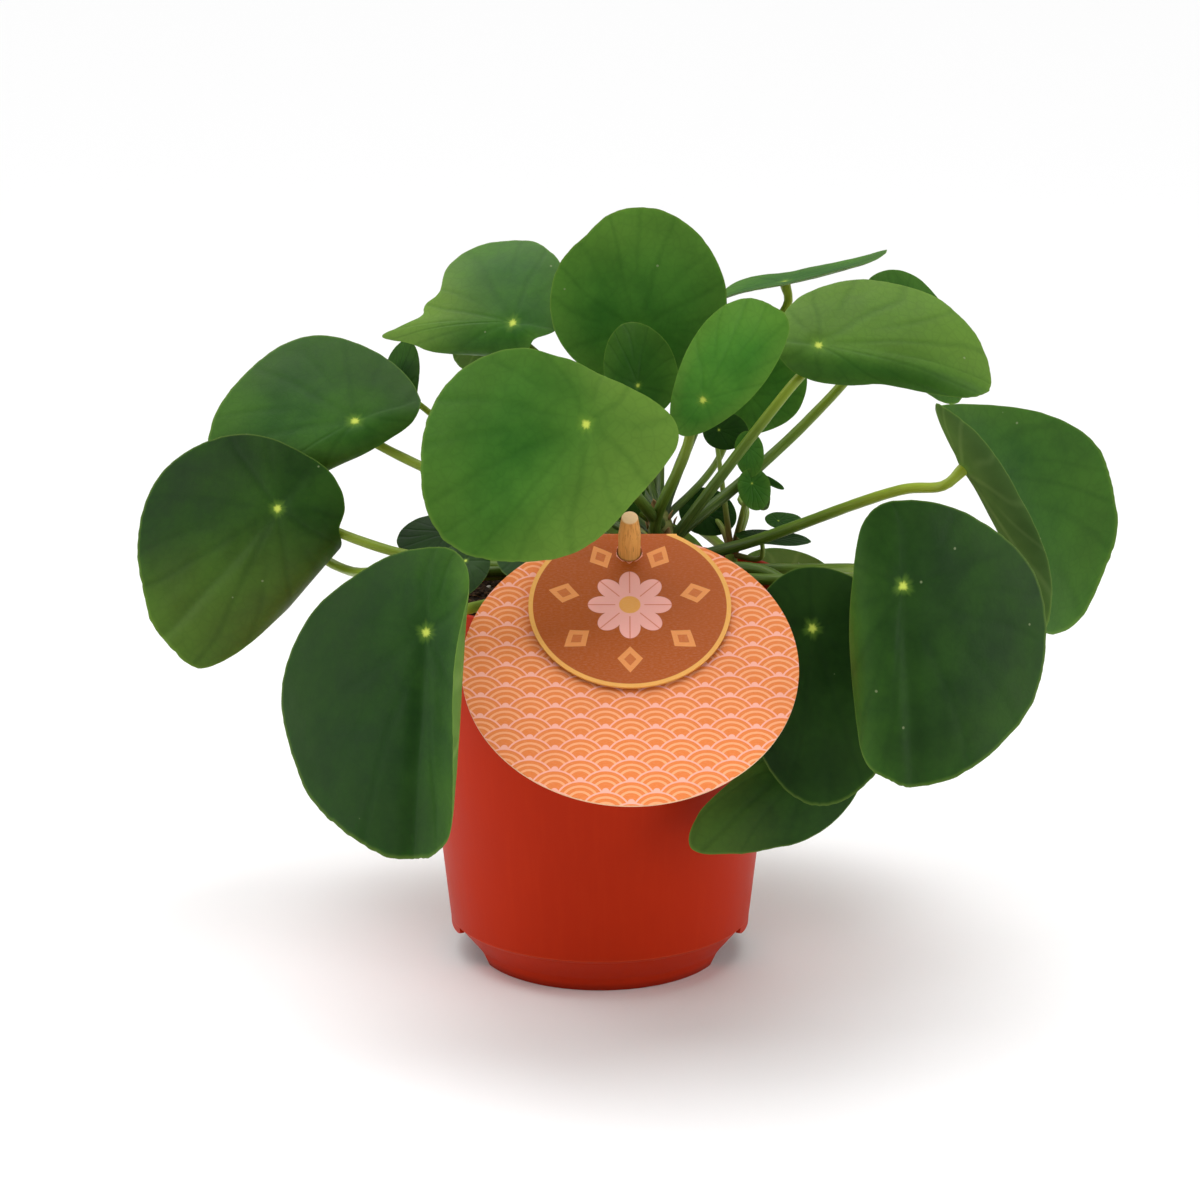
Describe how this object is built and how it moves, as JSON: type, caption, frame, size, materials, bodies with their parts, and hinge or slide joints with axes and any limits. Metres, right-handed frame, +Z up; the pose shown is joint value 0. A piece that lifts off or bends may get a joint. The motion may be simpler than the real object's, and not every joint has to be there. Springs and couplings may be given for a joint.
{
  "type": "potted chinese money plant",
  "caption": "Round-leaved house plant with long leaf stalks in a plain tapered nursery pot, with a folded round card on a wooden stick.",
  "frame": {"origin": "on the pot's axis, at the surface that the pot stands on", "axes": "+Z up along the pot's axis; -Y is the front, where the card lies; +X to the right as seen from the front"},
  "size_m": [0.3012, 0.2304, 0.2314],
  "materials": {
    "pot": "fine satin terracotta red, injection moulded",
    "soil": "damp dark peat potting soil with fibres",
    "stalk": "smooth yellow-green leaf stalk, olive in the shade, brown at the stem's foot",
    "leaf": "smooth leathery dark green leaf with a yellow-green spot over the stalk and a thin pale rim",
    "young_leaf": "smooth fresh green young leaf",
    "card": "printed card with a fine wave pattern in orange and pink, and a brown round flap with a gold ring",
    "stick": "pale turned wood with long fibres"
  },
  "bodies": {
    "root": {"pot": "pot", "soil": "soil", "stem_and_stalks": "stalk", "blade_left_low": "leaf", "blade_left_high": "leaf", "blade_left_tip": "leaf", "blade_front_left": "leaf", "blade_front_middle": "leaf", "blade_back_left": "leaf", "blade_top": "leaf", "blade_top_small": "leaf", "blade_bright": "young_leaf", "blade_right_back": "leaf", "blade_right_high": "leaf", "blade_far_right": "leaf", "blade_level": "leaf", "blade_right": "leaf", "blade_front_right": "leaf", "blade_shaded": "leaf", "blade_lowest": "leaf", "blade_inner_left": "leaf", "blade_inner_front": "leaf", "blade_left_under": "leaf", "blade_upright": "leaf", "blade_back_middle": "leaf", "blade_back_low": "leaf", "blade_back_left_low": "leaf", "blade_back_right_low": "leaf", "blade_back_right": "leaf", "blade_back_far_left": "leaf", "blade_back_top": "leaf", "blade_back_top_left": "leaf", "offset_plant": "young_leaf", "card": "card", "stick": "stick"}
  },
  "joints": []
}
